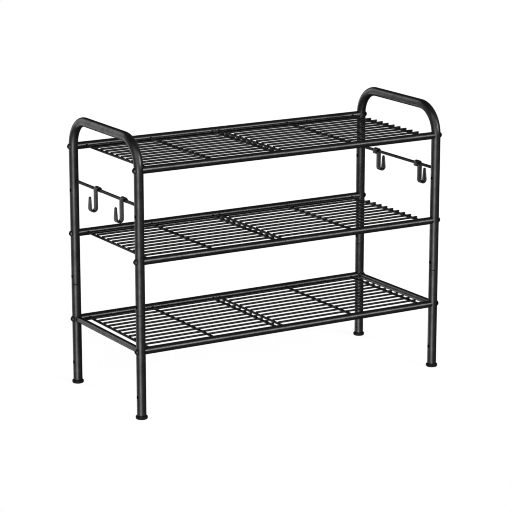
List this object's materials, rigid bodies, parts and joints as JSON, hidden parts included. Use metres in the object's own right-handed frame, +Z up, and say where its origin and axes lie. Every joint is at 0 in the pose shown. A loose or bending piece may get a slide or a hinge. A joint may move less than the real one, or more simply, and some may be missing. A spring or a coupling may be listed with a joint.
{
  "type": "shoe rack",
  "caption": "Free-standing tiered shoe rack of black bent tube with wire shelves, handles at both ends and sliding side hooks.",
  "frame": {"origin": "on the floor, under the middle of the rack", "axes": "+X from the left end to the right end, +Y from the front to the back, +Z up"},
  "size_m": [0.7494, 0.31, 0.577],
  "materials": {
    "frame_steel": "satin black powder coat",
    "rail_steel": "satin black powder coat",
    "wire_steel": "satin black powder coat",
    "hook_steel": "satin black powder coat",
    "bolt_steel": "black oxide, slightly shiny",
    "insert_steel": "zinc plated",
    "foot_plastic": "matt moulded plastic"
  },
  "bodies": {
    "rack": {"left_upper_frame": "frame_steel", "left_rung": "frame_steel", "left_hook_bar": "wire_steel", "left_front_lower_leg": "frame_steel", "left_front_foot": "foot_plastic", "left_rear_lower_leg": "frame_steel", "left_rear_foot": "foot_plastic", "right_upper_frame": "frame_steel", "right_rung": "frame_steel", "right_hook_bar": "wire_steel", "right_front_lower_leg": "frame_steel", "right_front_foot": "foot_plastic", "right_rear_lower_leg": "frame_steel", "right_rear_foot": "foot_plastic", "bottom_tier_bolts": "bolt_steel", "bottom_tier_inserts": "insert_steel", "bottom_left_cross_wires": "wire_steel", "bottom_left_long_wires": "wire_steel", "bottom_left_front_rail": "rail_steel", "bottom_left_rear_rail": "rail_steel", "bottom_right_cross_wires": "wire_steel", "bottom_right_long_wires": "wire_steel", "bottom_right_front_rail": "rail_steel", "bottom_right_rear_rail": "rail_steel", "middle_tier_bolts": "bolt_steel", "middle_tier_inserts": "insert_steel", "middle_left_cross_wires": "wire_steel", "middle_left_long_wires": "wire_steel", "middle_left_front_rail": "rail_steel", "middle_left_rear_rail": "rail_steel", "middle_right_cross_wires": "wire_steel", "middle_right_long_wires": "wire_steel", "middle_right_front_rail": "rail_steel", "middle_right_rear_rail": "rail_steel", "top_tier_bolts": "bolt_steel", "top_tier_inserts": "insert_steel", "top_left_cross_wires": "wire_steel", "top_left_long_wires": "wire_steel", "top_left_front_rail": "rail_steel", "top_left_rear_rail": "rail_steel", "top_right_cross_wires": "wire_steel", "top_right_long_wires": "wire_steel", "top_right_front_rail": "rail_steel", "top_right_rear_rail": "rail_steel"},
    "left_rear_hook": {"left_rear_hook": "hook_steel"},
    "left_front_hook": {"left_front_hook": "hook_steel"},
    "right_rear_hook": {"right_rear_hook": "hook_steel"},
    "right_front_hook": {"right_front_hook": "hook_steel"}
  },
  "joints": [
    {"name": "left_rear_hook_slide", "type": "slide", "parent": "rack", "child": "left_rear_hook", "axis": [0, 1, 0], "range_m": [-0.028, 0.091]},
    {"name": "left_front_hook_slide", "type": "slide", "parent": "rack", "child": "left_front_hook", "axis": [0, 1, 0], "range_m": [-0.048, 0.071]},
    {"name": "right_rear_hook_slide", "type": "slide", "parent": "rack", "child": "right_rear_hook", "axis": [0, 1, 0], "range_m": [-0.072, 0.047]},
    {"name": "right_front_hook_slide", "type": "slide", "parent": "rack", "child": "right_front_hook", "axis": [0, 1, 0], "range_m": [-0.048, 0.071]}
  ]
}
